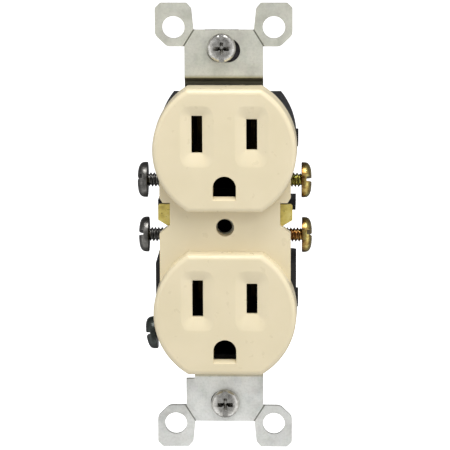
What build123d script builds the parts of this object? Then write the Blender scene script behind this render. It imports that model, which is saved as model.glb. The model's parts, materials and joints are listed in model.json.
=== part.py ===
"""Duplex wall receptacle on a steel mounting strap, built from its separate pieces.

Frame: millimetres, +Z up, +X to the right seen from the room, +Y into the wall.
The origin is on the cover-screw axis, in the plane of the rear face of the plaster ears (y = 0).
"""
from build123d import *
from math import atan2, cos, radians, sin, sqrt, tan
import os

# ---- standard spacings of the device ----
LOBE_Z = 19.445             # half of the 38.89 mm pitch of the two outlet faces
BLADE_X = 6.35              # half of the 12.7 mm blade spacing
MID_Z = 3.65                # height of the plane midway between the two blade lines
GROUND_DROP = 11.9          # ground pin below its blade line
BLADE_LINES = (MID_Z + LOBE_Z, MID_Z - LOBE_Z)
GROUND_LINES = (BLADE_LINES[0] - GROUND_DROP, BLADE_LINES[1] - GROUND_DROP)
SIDES = {"hot": 1, "neutral": -1}
ENDS = {"upper": 1, "lower": -1}
MOULD_X = 0.25              # the moulded parts and what they hold sit this far right of the strap

# ---- face cover ----
FACE_FRONT = -7.4
PLATE_FRONT = -3.0
LOBE_R = 16.86              # at the rear edge, before draft
LOBE_FLAT = 14.5            # half distance between the flats, before draft
LOBE_DROP = 0.2             # outline of a face below the middle of its pair of slots
DRAFT = 0.9
FRONT_FILLET = 1.25
PLATE_X = 15.35
CAVITY_FRONT = -5.3
CAVITY_START = 12.6         # height where the hollow behind each outlet face begins
PIN_HOLE_R = 2.7
PIN_HOLE_DROP = 0.5         # the round upper side is centred a little below the pin axis
PIN_HOLE_FLAT = 2.85        # flat lower side of the ground hole, below the pin axis
PIN_RELIEF = (3.4, 4.2)     # half width and drop of the hollow behind a ground hole
SLOT_WIDTH = 2.5
SLOT_HEIGHTS = {1: 7.2, -1: 8.7}    # the neutral slot is the taller one
POCKET_DEPTH = 0.75
POCKET_WIDTH = 6.2
POCKET_HEIGHT = 13.8
POCKET_DROP = 0.45
COVER_HOLE_R = 2.12
COVER_HOLE_Z = 0.5
NOTCH_X = 12.9
HOOK_X = 14.8               # outer face of the snap hooks, just inside the body wall
HOOK_WIDTH = 3.0
HOOK_LINES = (19.4, -17.7)  # the lower hooks clear the wall of the ground-screw recess

# ---- back body ----
BODY_BACK = 18.3
BODY_R = 16.5
BODY_TOP = 29.85
BODY_BOTTOM = -32.6
WALL = 1.5
BODY_FLOOR = 16.3
RECESS_X = 13.3             # outer face of the body wall behind the terminal screws
RECESS_HALF = 12.27
BARRIER_HALF = 1.15
BARRIER_FRONT = 9.2
BOSS_X = 17.0
RIB_IN = 3.7                # faces of the ribs beside the ground channel
RIB_OUT = 4.4

# ---- mounting strap ----
STRAP_T = 1.2
STRAP_STEP = 1.5            # how far the strap steps back inside the device
STEP_RUN = 1.1
STEP_Z = 35.7
STRAP_HALF = 9.13
EAR_TOP = 53.0
EAR_OUT = 15.95
EAR_IN = 7.5
EAR_LOW = 42.9
NOTCH_TOP = 46.75
EAR_HOLE_X = 11.65
EAR_HOLE_Z = 47.35
EAR_HOLE_R = 2.6
SCREW_SLOTS = ((42.0, 7.7), (-42.0, 6.6))   # height and length of the mounting-screw slots
SCREW_SLOT_H = 5.6
SCORE_SIZE = 0.35
INNER_FRONT = STRAP_STEP - STRAP_T
INNER_BACK = STRAP_STEP
PIN_SLOT = (9.0, 5.6)       # opening of the strap behind a ground-pin hole
PIN_SLOT_DROP = 1.6
TAP_R = 1.78
TAP_CHAMFER = 0.5
COLLAR_R = 2.6
COLLAR_L = 1.8

# ---- contacts ----
SHEET = 0.6
RIVET_RISE = 5.9            # rivet above the ground-pin axis
RIVET_R = 0.97
RIVET_HEAD_R = 1.6
WEB_FRONT = 12.6
WEB_BACK = 13.4
TERMINAL_IN = 12.2
TERMINAL_OUT = 13.2
TERMINAL_HALF = 4.1
TERMINAL_PITCH = 13.2
TERMINAL_Y = 6.5
TERMINAL_FRONT = 1.6
FIN_FRONT = -1.6
FIN_BACK = -0.7
FIN_OUT = 15.75
WIRE_X = 11.1
WIRE_RISE = 3.1             # push-in wire beyond its terminal screw
WIRE_HOLE_R = 1.2
RELEASE_X = 9.1
LIP_X = 8.4                 # face of the lip that seats the root of a wire spring
SPRING_ROOT = (8.95, 12.05)
SPRING_TIP = (11.75, 8.7)
SPRING_SHEET = 0.35
SPRING_WIDTH = 2.2

# ---- screws ----
THREAD_R = 1.72
RUN_CLEARANCE = 0.06
SLOT_CUT = 1.15             # width of the driver slots
HEAD_R = 4.26
HEAD_H = 2.4
HEAD_SEATS = {              # undersides of the backed-out terminal screw heads
    "hot_upper": 17.8,
    "hot_lower": 17.92,
    "neutral_upper": 18.55,
    "neutral_lower": 18.35,
}
SHANK_L = 7.4
GROUND_TILT = 7.3
GROUND_SEAT = (-16.55, 6.0, -26.75)
GROUND_HEAD_R = 3.9
GROUND_HEAD_H = 2.4
GROUND_TAB_DEPTH = 2.6      # head seat to the outer face of the tab
MOUNT_HEAD_R = 3.38
MOUNT_HEAD_H = 1.9
MOUNT_SHANK_L = 18.0
MOUNT_NECK_L = 2.8          # unthreaded neck that stands in the strap and the retainer
NECK_R = 1.45
MOUNT_SCREWS = {"top": (-0.48, 42.6), "bottom": (0.15, -42.3)}
RETAINER_SIZE = (9.4, 8.2)
RETAINER_T = 0.8
SEAT_GAP = 0.05


def front_plane(y):
    """Sketch plane facing the room at depth y; extruding goes towards the room."""
    return Plane.XZ.offset(-y)


def block(x, y, z, mode=Mode.ADD):
    """Rectangular block between two limits along each axis."""
    with Locations((sum(x) / 2, sum(y) / 2, sum(z) / 2)):
        Box(abs(x[1] - x[0]), abs(y[1] - y[0]), abs(z[1] - z[0]), mode=mode)


def save(piece, name, shift=0.0):
    """Label a finished piece, move it sideways where it belongs, and write its STEP file."""
    finished = piece.part.moved(Location((shift, 0, 0)))
    finished.label = name
    export_step(finished, f"parts/{name}.step")


# ---------------------------------------------------------------- face cover

def make_face_cover():
    """Moulded front: two raised outlet faces on a thin bridge plate, with snap hooks behind."""
    with BuildPart() as cover:
        with BuildSketch(front_plane(0)):
            for z in (LOBE_Z, -LOBE_Z):
                add(lobe_outline(LOBE_R, LOBE_FLAT, z - LOBE_DROP))
        extrude(amount=-FACE_FRONT, taper=DRAFT)
        fillet(cover.faces().filter_by(Axis.Y).group_by(Axis.Y)[0].edges(), FRONT_FILLET)
        block((-PLATE_X, PLATE_X), (PLATE_FRONT, 0), (-LOBE_Z, LOBE_Z))

        # hollow behind each outlet face
        with BuildSketch(front_plane(0)):
            add(body_outline(WALL + 0.5))
            Rectangle(4 * LOBE_R, 2 * CAVITY_START, mode=Mode.SUBTRACT)
        extrude(amount=-CAVITY_FRONT, mode=Mode.SUBTRACT)

        for side, height in SLOT_HEIGHTS.items():
            for z in BLADE_LINES:
                cut_blade_slot(side * BLADE_X, z, height)
        for z in GROUND_LINES:
            cut_pin_hole(z)
        cut_plate_openings()
        for side in SIDES.values():
            for z in HOOK_LINES:
                add_snap_hook(side, z)
    save(cover, "face_cover", MOULD_X)


def lobe_outline(radius, flat, z):
    """Circle cut by a flat above and below, centred at height z."""
    with BuildSketch(Plane.XY, mode=Mode.PRIVATE) as outline:
        with Locations((0, z)):
            Circle(radius)
            Rectangle(2 * radius, 2 * flat, mode=Mode.INTERSECT)
    return outline.sketch_local


def body_outline(inset):
    """Outline of the back body: two round ends cut by flats, joined by straight sides."""
    radius = BODY_R - inset
    with BuildSketch(Plane.XY, mode=Mode.PRIVATE) as outline:
        with Locations((0, LOBE_Z), (0, -LOBE_Z)):
            Circle(radius)
        Rectangle(2 * radius, 2 * LOBE_Z)
        with Locations((0, (BODY_TOP + BODY_BOTTOM) / 2)):
            Rectangle(2 * radius, BODY_TOP - BODY_BOTTOM - 2 * inset, mode=Mode.INTERSECT)
    return outline.sketch_local


def cut_blade_slot(x, z, height):
    """Blade slot with the shallow four-sided lead-in pocket around its mouth."""
    with BuildSketch(front_plane(FACE_FRONT)) as mouth:
        with Locations((x, z - POCKET_DROP)):
            Rectangle(POCKET_WIDTH, POCKET_HEIGHT)
    with BuildSketch(front_plane(FACE_FRONT + POCKET_DEPTH)) as throat:
        with Locations((x, z)):
            Rectangle(SLOT_WIDTH, height)
    loft([mouth.sketch, throat.sketch], mode=Mode.SUBTRACT)
    half = SLOT_WIDTH / 2
    block((x - half, x + half), (FACE_FRONT, 0), (z - height / 2, z + height / 2), Mode.SUBTRACT)


def cut_pin_hole(z):
    """Ground-pin hole: round above, flat below, with a sloped lower lip and hollow behind."""
    with BuildSketch(front_plane(0)) as hole:
        with Locations((0, z - PIN_HOLE_DROP)):
            Circle(PIN_HOLE_R)
        with Locations((0, z - PIN_HOLE_FLAT / 2)):
            Rectangle(2 * PIN_HOLE_R, PIN_HOLE_FLAT)
        with Locations((0, z - PIN_HOLE_FLAT - PIN_HOLE_R / 2)):
            Rectangle(2 * PIN_HOLE_R, PIN_HOLE_R, mode=Mode.SUBTRACT)
    extrude(hole.sketch, amount=-FACE_FRONT, mode=Mode.SUBTRACT)
    with BuildSketch(Plane.YZ.offset(-PIN_HOLE_R)) as lip:
        with BuildLine():
            Polyline(
                (FACE_FRONT - 0.1, z - PIN_HOLE_FLAT + 0.2),
                (FACE_FRONT + 1.6, z - PIN_HOLE_FLAT + 0.2),
                (FACE_FRONT - 0.1, z - PIN_HOLE_FLAT - 0.75),
                close=True,
            )
        make_face()
    extrude(lip.sketch, amount=2 * PIN_HOLE_R, mode=Mode.SUBTRACT)
    half, drop = PIN_RELIEF
    block((-half, half), (CAVITY_FRONT, 0), (z - drop, z + 0.5), Mode.SUBTRACT)


def cut_plate_openings():
    """Cover-screw hole and the side notches that give access to the break-off fins."""
    with BuildSketch(front_plane(0)) as openings:
        with Locations((0, COVER_HOLE_Z)):
            Circle(COVER_HOLE_R)
        for side in SIDES.values():
            with BuildLine():
                Polyline(
                    (side * (PLATE_X - 0.75), MID_Z + 2.7),
                    (side * NOTCH_X, MID_Z + 2.7),
                    (side * NOTCH_X, MID_Z - 2.6),
                    (side * PLATE_X, MID_Z - 4.65),
                    (side * (PLATE_X + 1), MID_Z - 4.65),
                    (side * (PLATE_X + 1), MID_Z + 3.9),
                    (side * PLATE_X, MID_Z + 3.9),
                    close=True,
                )
            make_face()
    extrude(openings.sketch, amount=-PLATE_FRONT, mode=Mode.SUBTRACT)
    for side in SIDES.values():
        relief_x = (side * (TERMINAL_IN - 0.3), side * (NOTCH_X + 0.75))
        block(relief_x, (FIN_FRONT - 0.15, 0), (MID_Z - 3.5, MID_Z + 2.5), Mode.SUBTRACT)


def add_snap_hook(side, z):
    """Snap hook: an arm behind the cover with a barb that catches in a window of the body."""
    with BuildSketch(Plane.XY.offset(z - HOOK_WIDTH / 2)) as hook:
        with BuildLine():
            Polyline(
                (side * (HOOK_X - 1.2), CAVITY_FRONT - 0.2),
                (side * (HOOK_X - 1.2), 6.2),
                (side * (HOOK_X - 0.5), 6.2),
                (side * (HOOK_X + 0.8), 4.5),
                (side * (HOOK_X + 0.8), 4.0),
                (side * HOOK_X, 4.0),
                (side * HOOK_X, CAVITY_FRONT - 0.2),
                close=True,
            )
        make_face()
    extrude(hook.sketch, amount=HOOK_WIDTH)


# ---------------------------------------------------------------- back body

def make_back_body():
    """Moulded rear housing: open-fronted box with open sides where the terminal screws stand."""
    with BuildPart() as body:
        with BuildSketch(front_plane(BODY_BACK)):
            add(body_outline(0))
        extrude(amount=BODY_BACK)
        chamfer(body.faces().sort_by(Axis.Y)[-1].edges(), 0.7)
        for z in (LOBE_Z, -LOBE_Z):
            block((-BOSS_X, BOSS_X), (9.0, 16.0), (z - 1.6, z + 1.6))
        cut_body_chamber()
        for side in SIDES.values():
            cut_terminal_recess(side)
            add_contact_supports(side)
            cut_hook_windows(side)
            for end in ENDS.values():
                cut_wire_entry(side, end)
        cut_strap_exits()
        block((-1.0, 1.0), (BODY_BACK - 0.4, BODY_BACK), (MID_Z - 7, MID_Z + 7), Mode.SUBTRACT)
        cut_ground_recess()
    save(body, "back_body", MOULD_X)


def cut_body_chamber():
    """Inside of the box, narrower between the terminal recesses and beside the ground screw."""
    with BuildSketch(front_plane(BODY_FLOOR)) as chamber:
        add(body_outline(WALL))
        for side in SIDES.values():
            with Locations((side * (TERMINAL_IN + 4.8), MID_Z)):
                Rectangle(10.0, 2 * (RECESS_HALF + WALL), mode=Mode.SUBTRACT)
        with Locations((-15.9, -26.1)):
            Rectangle(9.0, 12.6, mode=Mode.SUBTRACT)
    extrude(chamber.sketch, amount=BODY_FLOOR, mode=Mode.SUBTRACT)


def cut_terminal_recess(side):
    """Open side of the body, with a barrier between the screws and windows for the plates."""
    outer = side * (BODY_R + 2)
    recess_z = (MID_Z - RECESS_HALF, MID_Z + RECESS_HALF)
    block((side * RECESS_X, outer), (0, BODY_BACK), recess_z, Mode.SUBTRACT)
    barrier_z = (MID_Z - BARRIER_HALF, MID_Z + BARRIER_HALF)
    block((side * (RECESS_X - 0.2), side * (BODY_R - 0.1)), (BARRIER_FRONT, BODY_BACK), barrier_z)
    wall_x = (side * (TERMINAL_IN - 0.3), side * (RECESS_X + 0.1))
    for end in ENDS.values():
        line = MID_Z + end * TERMINAL_PITCH / 2
        window_z = (line - TERMINAL_HALF - 0.1, line + TERMINAL_HALF + 0.1)
        block(wall_x, (0, WEB_BACK + 0.1), window_z, Mode.SUBTRACT)
    block(wall_x, (0, 3.2), (MID_Z - 5, MID_Z + 5), Mode.SUBTRACT)


def add_contact_supports(side):
    """Rib beside the ground channel, and posts under the blade contacts."""
    rib_z = (BODY_BOTTOM + WALL, BODY_TOP - WALL)
    block((side * RIB_IN, side * RIB_OUT), (INNER_BACK + 0.1, BODY_FLOOR), rib_z)
    for line in BLADE_LINES:
        post_x = (side * (BLADE_X - 1.2), side * (BLADE_X + 1.2))
        block(post_x, (WEB_BACK + 0.1, BODY_FLOOR), (line - 3, line + 3))


def cut_hook_windows(side):
    """Windows in the side walls that catch the barbs of the cover."""
    for z in HOOK_LINES:
        window_x = (side * (BODY_R - WALL - 0.2), side * (BODY_R + 0.1))
        block(window_x, (3.8, 6.2), (z - 1.7, z + 1.7), Mode.SUBTRACT)


def cut_wire_entry(side, end):
    """Push-in wire hole with a flared mouth, and the release slot beside it."""
    wire_z = MID_Z + end * (TERMINAL_PITCH / 2 + WIRE_RISE)
    with Locations(Plane(origin=(side * WIRE_X, BODY_BACK, wire_z), z_dir=(0, 1, 0))):
        CounterSinkHole(WIRE_HOLE_R, WIRE_HOLE_R + 0.5, depth=BODY_BACK - BODY_FLOOR)
    slot_x = (side * (RELEASE_X - 0.6), side * (RELEASE_X + 0.6))
    block(slot_x, (BODY_FLOOR, BODY_BACK), (wire_z - 1.5, wire_z + 1.5), Mode.SUBTRACT)


def cut_strap_exits():
    """Ways out of the body for the strap at both ends and for the arm of the ground tab."""
    half = STRAP_HALF + MOULD_X + 0.15
    depth = (0, INNER_BACK + 0.1)
    block((-half, half), depth, (BODY_TOP - WALL - 0.3, BODY_TOP + 0.1), Mode.SUBTRACT)
    block((-half, half), depth, (BODY_BOTTOM - 0.1, BODY_BOTTOM + WALL + 0.3), Mode.SUBTRACT)
    block((-14.0, -7.5), depth, (BODY_BOTTOM - 1.0, -28.2), Mode.SUBTRACT)


def ground_plane(depth):
    """Plane square to the tilted ground screw, a given depth in from the seat of its head."""
    tilt = radians(GROUND_TILT)
    inward = Vector(cos(tilt), 0, sin(tilt))
    return Plane(origin=Vector(*GROUND_SEAT) + inward * depth, x_dir=(0, 1, 0), z_dir=inward)


def cut_ground_recess():
    """Corner of the body cut away for the ground tab and its screw."""
    with BuildSketch(ground_plane(GROUND_TAB_DEPTH + STRAP_T + 0.15)) as recess:
        Rectangle(40.0, 10.2)
    extrude(recess.sketch, amount=-12.0, mode=Mode.SUBTRACT)
    with BuildSketch(ground_plane(GROUND_TAB_DEPTH)) as bore:
        Circle(THREAD_R + 0.5)
    extrude(bore.sketch, amount=8.0, mode=Mode.SUBTRACT)


# ---------------------------------------------------------------- mounting strap

def make_mounting_strap():
    """One steel stamping: strap, four plaster ears, tapped collar, ground tab."""
    bend = STRAP_T * tan(atan2(STRAP_STEP, STEP_RUN) / 2)
    low_z = STEP_Z - STEP_RUN
    front = [(-STRAP_T, EAR_TOP), (-STRAP_T, STEP_Z), (INNER_FRONT, low_z)]
    back = [(INNER_BACK, low_z + bend), (0, STEP_Z + bend), (0, EAR_TOP)]
    with BuildPart() as strap:
        with BuildSketch(Plane.YZ.offset(-EAR_OUT - 1)) as profile:
            with BuildLine():
                Polyline(
                    *front,
                    *[(y, -z) for y, z in reversed(front)],
                    *[(y, -z) for y, z in reversed(back)],
                    *back,
                    close=True,
                )
            make_face()
            fillet(profile.vertices().filter_by(lambda v: abs(v.Y) < EAR_TOP - 1), 0.5)
        extrude(amount=2 * EAR_OUT + 2)
        with BuildSketch(front_plane(4.0)):
            add(strap_outline())
        extrude(amount=8.0, mode=Mode.INTERSECT)

        # pulled and tapped collar for the cover screw
        with BuildSketch(front_plane(INNER_BACK)):
            Circle(COLLAR_R)
        extrude(amount=-COLLAR_L)
        with BuildSketch(front_plane(INNER_BACK + COLLAR_L)):
            Circle(TAP_R)
        extrude(amount=COLLAR_L + STRAP_T, mode=Mode.SUBTRACT)
        circles = strap.edges().filter_by(GeomType.CIRCLE)
        tap_rims = circles.filter_by(lambda e: abs(e.radius - TAP_R) < 0.01)
        chamfer(tap_rims.sort_by(Axis.Y)[0], TAP_CHAMFER)

        for side in (1, -1):
            for end in ENDS.values():
                cut_score_line(side, end)
        add_ground_tab()
    save(strap, "mounting_strap")


def ear_outline(end):
    """Corner points of one end of the strap with its two plaster ears."""
    right = [
        (4.2, end * 29.2),
        (STRAP_HALF, end * 31.0),
        (STRAP_HALF, end * EAR_LOW),
        (EAR_OUT - 2.8, end * EAR_LOW),
        (EAR_OUT, end * (EAR_LOW + 2.7)),
        (EAR_OUT, end * (EAR_TOP - 1.2)),
        (EAR_OUT - 1.2, end * EAR_TOP),
        (EAR_IN + 1.1, end * EAR_TOP),
        (EAR_IN, end * (EAR_TOP - 1.3)),
        (EAR_IN - 0.5, end * NOTCH_TOP),
    ]
    return right + [(-x, z) for x, z in reversed(right)]


def strap_outline():
    """Flat outline of the strap seen from the room."""
    with BuildSketch(Plane.XY, mode=Mode.PRIVATE) as outline:
        for end in ENDS.values():
            with BuildLine():
                Polyline(*ear_outline(end), close=True)
            make_face()
        fillet(outline.vertices().filter_by(lambda v: abs(v.X) > 12 and abs(v.Y) < 46), 1.8)
        fillet(outline.vertices().filter_by(lambda v: abs(v.X) > EAR_IN - 0.1 and abs(v.Y) > 50), 0.6)
        Rectangle(8.4, 62.0)
        Rectangle(14.0, 9.0)
        with Locations(*[(0, z - PIN_SLOT_DROP) for z in GROUND_LINES]):
            SlotOverall(*PIN_SLOT, rotation=90, mode=Mode.SUBTRACT)
        with Locations(*[(0, z + RIVET_RISE) for z in GROUND_LINES]):
            Circle(RIVET_R + 0.03, mode=Mode.SUBTRACT)
        with GridLocations(2 * EAR_HOLE_X, 2 * EAR_HOLE_Z, 2, 2):
            Circle(EAR_HOLE_R, mode=Mode.SUBTRACT)
        for z, length in SCREW_SLOTS:
            with Locations((0, z)):
                SlotOverall(length, SCREW_SLOT_H, mode=Mode.SUBTRACT)
        # relief beside the bend of the ground tab
        with Locations((-STRAP_HALF, -35.0)):
            Rectangle(4.0, 2.8, mode=Mode.SUBTRACT)
    return outline.sketch_local


def cut_score_line(side, end):
    """V groove on the front of the strap along the root of one plaster ear."""
    start = Vector(side * 6.6, -STRAP_T, end * 47.3)
    finish = Vector(side * 9.6, -STRAP_T, end * 42.5)
    along = (finish - start).normalized()
    across = along.cross(Vector(0, 1, 0))
    with BuildSketch(Plane(origin=start, x_dir=across, z_dir=along)) as groove:
        Rectangle(SCORE_SIZE, SCORE_SIZE, rotation=45)
    extrude(groove.sketch, amount=(finish - start).length, mode=Mode.SUBTRACT)


def add_ground_tab():
    """Arm and tilted tab, bent back along the side of the body, tapped for the ground screw."""
    with BuildSketch(front_plane(INNER_BACK)) as arm:
        with BuildLine():
            Polyline(
                (-8.0, -30.0),
                (-8.0, -33.4),
                (-10.6, -33.2),
                (-12.2, -32.0),
                (-13.3, -30.6),
                (-13.3, -28.5),
                (-12.6, -28.5),
                (-12.4, -30.0),
                close=True,
            )
        make_face()
    extrude(arm.sketch, amount=STRAP_T)
    with BuildSketch(ground_plane(GROUND_TAB_DEPTH)) as tab:
        with BuildLine():
            Polyline(
                (-5.7, -4.4),
                (3.2, -4.4),
                (4.6, -3.0),
                (4.6, 3.0),
                (3.2, 4.4),
                (-2.4, 4.4),
                (-5.7, -1.0),
                close=True,
            )
        make_face()
        Circle(THREAD_R + RUN_CLEARANCE, mode=Mode.SUBTRACT)
    extrude(tab.sketch, amount=STRAP_T)


# ---------------------------------------------------------------- contacts

def make_contact_strip(name, side):
    """Brass strip of one side: two blade contacts and two terminal plates joined by the fin."""
    plate_x = (side * TERMINAL_IN, side * TERMINAL_OUT)
    web_y = (WEB_FRONT, WEB_BACK)
    leaf_height = SLOT_HEIGHTS[side] - 0.2
    with BuildPart() as strip:
        for end in ENDS.values():
            blade_z = MID_Z + end * LOBE_Z
            terminal_z = MID_Z + end * TERMINAL_PITCH / 2
            wire_z = terminal_z + end * WIRE_RISE
            add_blade_contact(side * BLADE_X, blade_z, leaf_height)

            # web and wing that lead from the contact to the terminal plate
            web_x = (side * (BLADE_X - 1.5), side * (BLADE_X + 1.5))
            block(web_x, web_y, (MID_Z + end * 5.0, blade_z))
            plate_z = (terminal_z - TERMINAL_HALF, terminal_z + TERMINAL_HALF)
            block((side * BLADE_X, side * TERMINAL_OUT), web_y, plate_z)
            block(plate_x, (TERMINAL_FRONT, WEB_BACK), plate_z)
            opening_x = (side * (LIP_X + 0.9), side * (TERMINAL_IN - 0.2))
            block(opening_x, web_y, (wire_z - 1.2, wire_z + 1.2), Mode.SUBTRACT)
            block((side * (LIP_X - 0.5), side * LIP_X), (10.7, WEB_FRONT), (wire_z - 1, wire_z + 1))

            # tapped hole of the terminal screw
            with BuildSketch(Plane.YZ.offset(side * TERMINAL_IN)):
                with Locations((TERMINAL_Y, terminal_z)):
                    Circle(THREAD_R + RUN_CLEARANCE)
            extrude(amount=side * (TERMINAL_OUT - TERMINAL_IN), mode=Mode.SUBTRACT)

        # break-off fin: neck between the plates, and the tab bent outwards in front
        block(plate_x, (TERMINAL_FRONT, 3.0), (MID_Z - 3.0, MID_Z + 3.0))
        block(plate_x, (FIN_BACK - 0.2, TERMINAL_FRONT + 0.2), (MID_Z - 2.4, MID_Z + 2.0))
        with BuildSketch(front_plane(FIN_BACK)):
            with BuildLine():
                Polyline(
                    (side * TERMINAL_IN, MID_Z + 2.15),
                    (side * (FIN_OUT - 0.3), MID_Z + 2.15),
                    (side * FIN_OUT, MID_Z + 1.8),
                    (side * FIN_OUT, MID_Z - 1.6),
                    (side * TERMINAL_OUT, MID_Z - 3.2),
                    (side * TERMINAL_IN, MID_Z - 3.2),
                    close=True,
                )
            make_face()
        extrude(amount=FIN_BACK - FIN_FRONT)
    save(strip, name, MOULD_X)


def add_blade_contact(x, z, height):
    """U-shaped double-wipe contact, pinched near its flared mouth."""
    with BuildSketch(Plane.XY.offset(z - height / 2)) as leaves:
        for lean in (1, -1):
            with BuildLine():
                Polyline(
                    (x, WEB_BACK - SHEET / 2),
                    (x + lean * 1.3, WEB_BACK - SHEET / 2),
                    (x + lean * 1.15, 9.8),
                    (x + lean * 0.85, 7.0),
                    (x + lean * 1.6, 4.6),
                )
            trace(line_width=SHEET)
    extrude(leaves.sketch, amount=height)


def make_ground_contact(name, z):
    """Brass clip behind the strap: base plate with pin hole, and two fingers."""
    with BuildPart() as clip:
        with BuildSketch(front_plane(INNER_BACK + SHEET)):
            with Locations((0, z + 2.3)):
                Rectangle(6.6, 11.0)
            with Locations((0, z)):
                Circle(PIN_HOLE_R - 0.1, mode=Mode.SUBTRACT)
            with Locations((0, z - 2.0)):
                Rectangle(2 * PIN_HOLE_R - 0.2, 4.0, mode=Mode.SUBTRACT)
            with Locations((0, z + RIVET_RISE)):
                Circle(RIVET_R + 0.03, mode=Mode.SUBTRACT)
        extrude(amount=SHEET)
        with BuildSketch(Plane.XY.offset(z - 2.2)):
            for lean in (1, -1):
                with BuildLine():
                    Polyline(
                        (lean * 3.0, INNER_BACK + SHEET / 2),
                        (lean * 3.0, 4.0),
                        (lean * 2.4, 9.5),
                        (lean * 2.8, 12.0),
                    )
                trace(line_width=SHEET)
        extrude(amount=4.4)
    save(clip, name)


def make_rivets():
    """Rivets that fasten the ground contacts to the strap."""
    clip_back = INNER_BACK + SHEET
    with BuildPart() as rivets:
        for z in GROUND_LINES:
            for y, radius, length in (
                (clip_back + 0.5, RIVET_HEAD_R, 0.5),
                (clip_back, RIVET_R, STRAP_T + SHEET),
                (INNER_FRONT, RIVET_HEAD_R, 0.5),
            ):
                with BuildSketch(front_plane(y)):
                    with Locations((0, z + RIVET_RISE)):
                        Circle(radius)
                extrude(amount=length)
        rims = rivets.edges().filter_by(GeomType.CIRCLE).filter_by(lambda e: e.radius > RIVET_R + 0.1)
        fillet(rims.group_by(Axis.Y)[0] + rims.group_by(Axis.Y)[-1], 0.3)
    save(rivets, "ground_contact_rivets")


def make_wire_spring(name, side, end):
    """Leaf of one push-in terminal: rolled root, and a blade that bears on the wire."""
    wire_z = MID_Z + end * (TERMINAL_PITCH / 2 + WIRE_RISE)
    with BuildPart() as spring:
        with BuildSketch(Plane.XY.offset(wire_z - SPRING_WIDTH / 2)):
            with Locations((side * SPRING_ROOT[0], SPRING_ROOT[1])):
                Circle(0.5)
            with BuildLine():
                Line((side * SPRING_ROOT[0], SPRING_ROOT[1]), (side * SPRING_TIP[0], SPRING_TIP[1]))
            trace(line_width=SPRING_SHEET)
        extrude(amount=SPRING_WIDTH)
    save(spring, name, MOULD_X)


# ---------------------------------------------------------------- screws

def make_screw(name, seat, out, across, head, shank_l, rim, neck_l=0.0, shift=0.0):
    """Domed combination-head screw: seat of the head, direction out of it, slot direction."""
    head_r, head_h = head
    out = Vector(*out).normalized()
    rise = head_h - rim
    dome_r = (rise**2 + head_r**2) / (2 * rise)
    mid_x = head_h - dome_r + sqrt(dome_r**2 - head_r**2 / 4)
    neck = [(-neck_l, THREAD_R), (-neck_l, NECK_R), (0, NECK_R)] if neck_l else [(0, THREAD_R)]
    with BuildPart() as screw:
        with BuildSketch(Plane(origin=seat, x_dir=out, z_dir=across)):
            with BuildLine():
                Polyline(
                    (head_h, 0),
                    (-shank_l, 0),
                    (-shank_l, THREAD_R - 0.5),
                    (-shank_l + 0.7, THREAD_R),
                    *neck,
                    (0, head_r),
                    (rim, head_r),
                )
                ThreePointArc((rim, head_r), (mid_x, head_r / 2), (head_h, 0))
            make_face()
        revolve(axis=Axis(seat, out))
        with BuildSketch(Plane(origin=Vector(*seat) + out * head_h, x_dir=across, z_dir=out)):
            Rectangle(3 * head_r, SLOT_CUT)
        extrude(amount=-0.48 * head_h, mode=Mode.SUBTRACT)
        with BuildSketch(Plane(origin=Vector(*seat) + out * head_h, x_dir=across, z_dir=out)):
            Rectangle(SLOT_CUT, 1.0 * head_r)
            Rectangle(1.0 * head_r, SLOT_CUT)
        extrude(amount=-0.7 * head_h, mode=Mode.SUBTRACT)
    save(screw, name, shift)


def make_screws():
    """Terminal screws, ground screw and the two mounting screws."""
    for side_name, side in SIDES.items():
        for end_name, end in ENDS.items():
            seat_x = side * HEAD_SEATS[f"{side_name}_{end_name}"]
            seat = (seat_x, TERMINAL_Y, MID_Z + end * TERMINAL_PITCH / 2)
            name = f"{side_name}_terminal_screw_{end_name}"
            head = (HEAD_R, HEAD_H)
            make_screw(name, seat, (side, 0, 0), (0, 1, 0), head, SHANK_L, 1.3, shift=MOULD_X)

    tilt = radians(GROUND_TILT)
    out = (-cos(tilt), 0, -sin(tilt))
    head = (GROUND_HEAD_R, GROUND_HEAD_H)
    make_screw("ground_screw", GROUND_SEAT, out, (0, 1, 0), head, 7.0, 1.3)

    for end_name, (x, z) in MOUNT_SCREWS.items():
        seat = (x, -STRAP_T - SEAT_GAP, z)
        head = (MOUNT_HEAD_R, MOUNT_HEAD_H)
        name = f"mounting_screw_{end_name}"
        make_screw(name, seat, (0, -1, 0), (0, 0, 1), head, MOUNT_SHANK_L, 0.7, MOUNT_NECK_L)


def make_retainer(end_name, x, z):
    """Fibre washer that keeps a mounting screw from falling out of the strap."""
    with BuildPart() as retainer:
        with BuildSketch(front_plane(RETAINER_T + 2 * SEAT_GAP)):
            with Locations((x, z)):
                RectangleRounded(*RETAINER_SIZE, 1.0)
                Circle(THREAD_R + RUN_CLEARANCE, mode=Mode.SUBTRACT)
        extrude(amount=RETAINER_T)
    save(retainer, f"screw_retainer_{end_name}")


os.makedirs("parts", exist_ok=True)
make_face_cover()
make_back_body()
make_mounting_strap()
for side_name, side in SIDES.items():
    make_contact_strip(f"{side_name}_contact_strip", side)
    for end_name, end in ENDS.items():
        make_wire_spring(f"{side_name}_wire_spring_{end_name}", side, end)
make_ground_contact("ground_contact_upper", GROUND_LINES[0])
make_ground_contact("ground_contact_lower", GROUND_LINES[1])
make_rivets()
make_screws()
for end_name, (x, z) in MOUNT_SCREWS.items():
    make_retainer(end_name, x, z)
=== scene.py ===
"""Looks of the duplex wall receptacle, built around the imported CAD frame.

Metres, +Z up, +X to the right seen from the room, +Y into the wall; the origin is on the
cover-screw axis, in the plane of the rear faces of the plaster ears.
"""
import json
from math import cos, pi, radians, sin

import bmesh
import bpy
from mathutils import Matrix, Vector


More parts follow.
